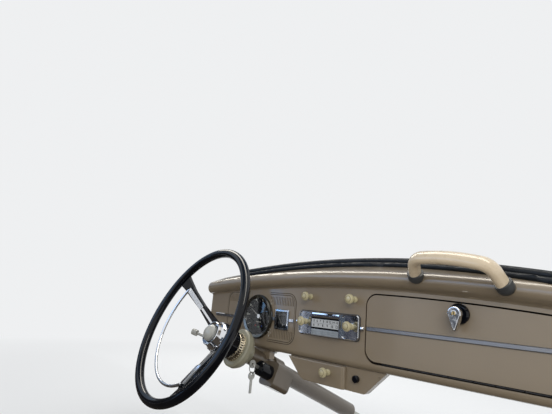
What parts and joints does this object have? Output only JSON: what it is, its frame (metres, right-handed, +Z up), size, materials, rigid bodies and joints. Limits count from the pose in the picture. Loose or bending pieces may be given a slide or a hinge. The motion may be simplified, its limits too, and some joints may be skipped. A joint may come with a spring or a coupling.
{
  "type": "dashboard with steering wheel",
  "caption": "Pressed steel dashboard of a small classic car, with instruments, radio, glovebox, ashtray, grab handle, column and turning steering wheel.",
  "frame": {"origin": "centre of the flat top face of the scuttle flange, in the car's middle", "axes": "+X to the passenger's side, along the dashboard; +Y to the front of the car; +Z up"},
  "size_m": [1.08, 0.7369, 0.4642],
  "materials": {
    "paint": "gloss beige enamel, lightly worn",
    "lid_paint": "gloss beige enamel, lightly worn",
    "chrome": "polished",
    "aluminium_trim": "anodised, ridged",
    "black_gloss": "polished black",
    "ivory": "aged ivory",
    "grey_rubber": "matt",
    "dial_black": "matt black with pale marks",
    "needle_white": "satin",
    "glass": "clear",
    "zinc_steel": "zinc plated",
    "board": "pressed fibre board",
    "dark_board": "dark felted board",
    "dark_steel": "dark, oiled",
    "white_plastic": "pale, with dark marks",
    "black_rubber": "matt",
    "ring_brass": "nickel plated, worn",
    "column_paint": "satin tan",
    "brass_bush": "sintered"
  },
  "bodies": {
    "dash": {"dash_panel": "paint", "scuttle_flange": "paint", "end_flanges": "paint", "ashtray_panel": "paint", "grille_boards": "dark_board", "shelf_seal": "black_rubber", "speedometer_case": "zinc_steel", "speedometer_bezel": "chrome", "speedometer_dial": "dial_black", "speedometer_glass": "glass", "speedometer_needle": "needle_white", "fuel_gauge_case": "zinc_steel", "fuel_gauge_bezel": "chrome", "fuel_gauge_dial": "dial_black", "fuel_gauge_glass": "glass", "fuel_gauge_needle": "needle_white", "radio_body": "zinc_steel", "radio_face": "chrome", "radio_gasket": "black_rubber", "radio_scale": "white_plastic", "radio_buttons": "white_plastic", "radio_knobs": "ivory", "switch_knobs": "ivory", "lower_knob": "black_gloss", "trim_strips": "chrome", "lid_hinge": "dark_steel", "glovebox_liner": "board", "grab_handle": "ivory", "handle_sockets": "grey_rubber", "column_tube": "column_paint", "column_bushes": "brass_bush", "signal_housing": "ivory", "collar_ring": "ring_brass", "indicator_stalk": "ivory", "lock_housing": "column_paint", "ignition_barrel": "black_gloss", "keys": "zinc_steel", "column_bracket": "paint"},
    "lid": {"glovebox_lid": "lid_paint", "lid_hinge_leaves": "dark_steel", "lid_trim": "aluminium_trim", "lock_base": "black_gloss", "lid_lock": "chrome"},
    "ashtray": {"ashtray_drawer": "lid_paint", "ashtray_knob": "ivory"},
    "wheel": {"wheel_rim": "black_gloss", "wheel_spokes": "black_gloss", "hub_shroud": "black_gloss", "steering_shaft": "zinc_steel", "horn_ring": "chrome", "horn_button": "ivory"}
  },
  "joints": [
    {"name": "steering", "type": "hinge", "parent": "dash", "child": "wheel", "pos_m": [-0.3199, -0.2641, -0.16641], "axis": [-0.0663, -0.9205, 0.3851], "range_deg": [-416.5, 519.5]},
    {"name": "glovebox_lid", "type": "hinge", "parent": "dash", "child": "lid", "pos_m": [0.2365, -0.0518, -0.20921], "axis": [1, 0, 0], "range_deg": [0, 85]},
    {"name": "ashtray", "type": "slide", "parent": "dash", "child": "ashtray", "axis": [0, -1, 0], "range_m": [0, 0.045]}
  ]
}
